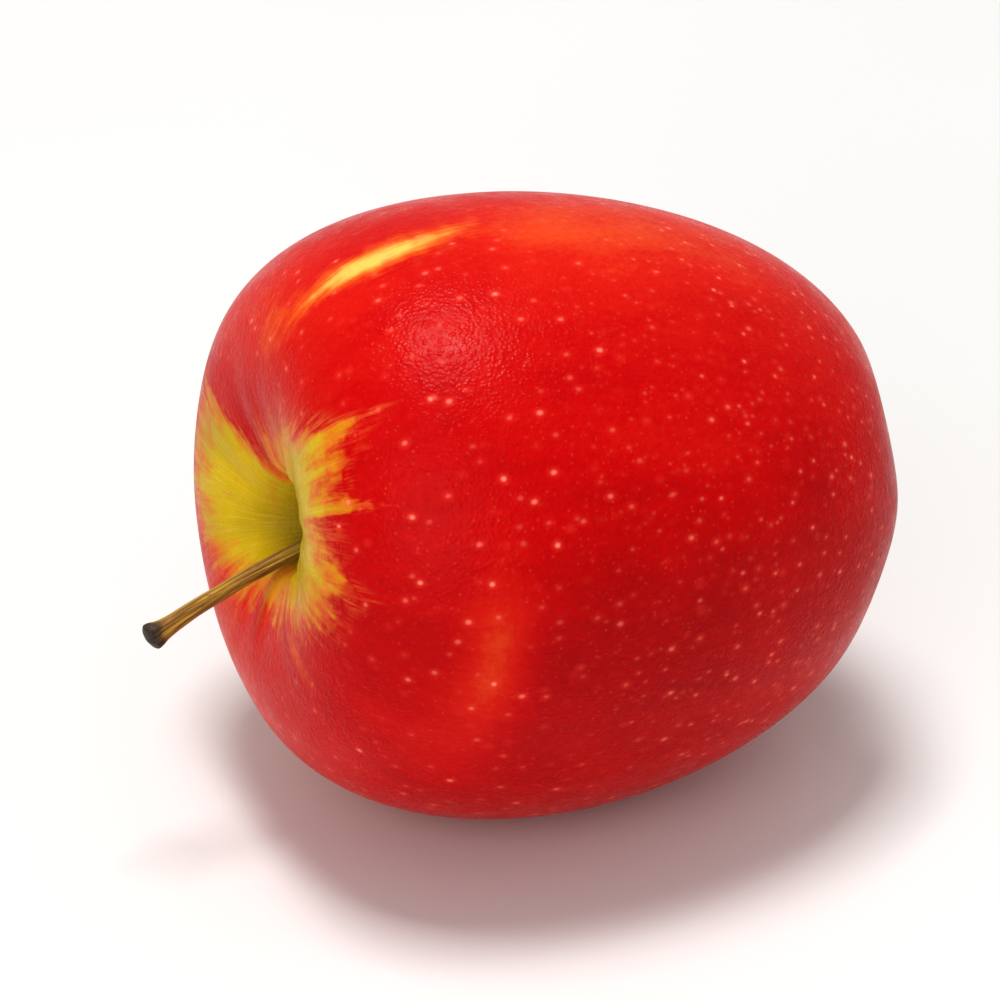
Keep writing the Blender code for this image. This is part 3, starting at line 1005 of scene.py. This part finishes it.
def floor_material():
    """Smooth pale board, very slightly clouded."""
    material, tree, shader, place = new_material("pale_board")
    cloud = fade(tree, noise(tree, place, 3.0, 3.0), 0.3, 0.7)
    shade = tint(tree, cloud, colour(226, 225, 223), colour(232, 231, 229))
    tree.links.new(shade, shader.inputs["Base Color"])
    shader.inputs["Roughness"].default_value = 0.6
    return material


# ------------------------------------------------------------------ the scene

LAMPS = (
    ("overhead_box", (-0.05, 0.05, 1.05), 0.32, 7.2),
    ("wide_fill", (-0.9, -1.0, 0.62), 1.2, 7.5),
)
SURROUND_STRENGTH = 0.40
BOARD_REACH = 4.0
CAMERA_AZIMUTH = math.radians(-23.0)
CAMERA_ELEVATION = math.radians(30.0)
CAMERA_DISTANCE = 0.72
CAMERA_LENS = 225.0


def make_fruit(streaks):
    """The fruit's skin; gives the move that set it down."""
    skin, shift = placed_fruit()
    look = skin_material(streaks, lenticel_dots(), bold_dot(), pebbled_wax())
    show("fruit_skin", skin, look, "fruit")
    return shift


def make_grown(name, shaped, shift, material, node):
    """A piece that grew on the fruit: bent, leaned and set down with it."""
    rows, marks = shaped
    mesh = closed_mesh(name, leaned(grown(rows)) + shift, {"around": marks})
    show(name, mesh, material, node)


def make_flower(streaks, shift):
    """Sepals, stamens and style of the dried flower."""
    leaf = dry_material(
        "sepal_leaf", streaks, colour(64, 46, 26), colour(120, 94, 52), colour(172, 154, 116)
    )
    thread = dry_material(
        "stamen_thread", streaks, colour(38, 26, 16), colour(84, 60, 34), colour(112, 92, 62)
    )
    core = dry_material(
        "style_tissue", streaks, colour(48, 34, 20), colour(96, 74, 40), colour(120, 100, 70)
    )
    for index in range(SEPALS):
        label = f"sepal_{index + 1}"
        make_grown(f"dry_{label}", sepal_rows(index), shift, leaf, label)
    sizes = [STAMEN_RADIUS * part for part in STAMEN_SIZES]
    for index in range(STAMENS):
        bearing = 2 * math.pi * (index + 0.25) / STAMENS
        reach = STAMEN_LENGTH * (0.86 + 0.14 * math.cos(3.7 * index))
        swing = STAMEN_SWING * math.sin(2.1 * index)
        label = f"stamen_{index + 1:02d}"
        shaped = thread_rows(STAMEN_RING, bearing, reach, swing, sizes)
        make_grown(f"dry_{label}", shaped, shift, thread, label)
    sizes = [STYLE_RADIUS * part for part in STYLE_SIZES]
    shaped = thread_rows(STYLE_RING, 0.3, STYLE_LENGTH, 0.0, sizes)
    make_grown("dry_style", shaped, shift, core, "style_column")


def make_apple():
    """Every piece of the apple, each in place of its solid."""
    streaks = growth_streaks()
    shift = make_fruit(streaks)
    make_grown("stalk", stem_rows(), shift, stem_material(streaks), "stem")
    make_flower(streaks, shift)


def make_floor():
    """One wide level board at the height the apple rests on."""
    mesh = bpy.data.meshes.new("board")
    low, high = -BOARD_REACH, BOARD_REACH
    corners = [(low, low, 0.0), (high, low, 0.0), (high, high, 0.0), (low, high, 0.0)]
    mesh.from_pydata(corners, [], [(0, 1, 2, 3)])
    board = bpy.data.objects.new("board", mesh)
    mesh.materials.append(floor_material())
    bpy.context.scene.collection.objects.link(board)


def aim(thing, spot, target):
    """Put a lamp or camera at a spot, looking at the target."""
    thing.location = spot
    thing.rotation_euler = (Vector(target) - Vector(spot)).to_track_quat("-Z", "Y").to_euler()
    bpy.context.scene.collection.objects.link(thing)


def make_light(target):
    """A soft box nearly overhead, a wide weak fill, and a pale surround."""
    for name, spot, size, power in LAMPS:
        lamp = bpy.data.lights.new(name, "AREA")
        lamp.shape = "SQUARE"
        lamp.size = size
        lamp.energy = power
        aim(bpy.data.objects.new(name, lamp), spot, target)
    world = bpy.data.worlds.new("pale_room")
    world.use_nodes = True
    surround = world.node_tree.nodes["Background"]
    surround.inputs["Color"].default_value = (1.0, 1.0, 1.0, 1.0)
    surround.inputs["Strength"].default_value = SURROUND_STRENGTH
    bpy.context.scene.world = world


def make_camera(target):
    """A long lens, looking down at the stem side."""
    back = (
        math.sin(CAMERA_AZIMUTH) * math.cos(CAMERA_ELEVATION),
        -math.cos(CAMERA_AZIMUTH) * math.cos(CAMERA_ELEVATION),
        math.sin(CAMERA_ELEVATION),
    )
    camera = bpy.data.objects.new("camera", bpy.data.cameras.new("camera"))
    camera.data.lens = CAMERA_LENS
    camera.data.clip_start = 0.01
    aim(camera, tuple(m + CAMERA_DISTANCE * b for m, b in zip(target, back)), target)
    bpy.context.scene.camera = camera


middle = tuple((low + high) / 2 for low, high in zip(cad_low, cad_high))
make_apple()
make_floor()
make_light(middle)
make_camera(middle)
bpy.context.scene.view_settings.view_transform = "Standard"
bpy.context.scene.view_settings.look = "Medium High Contrast"
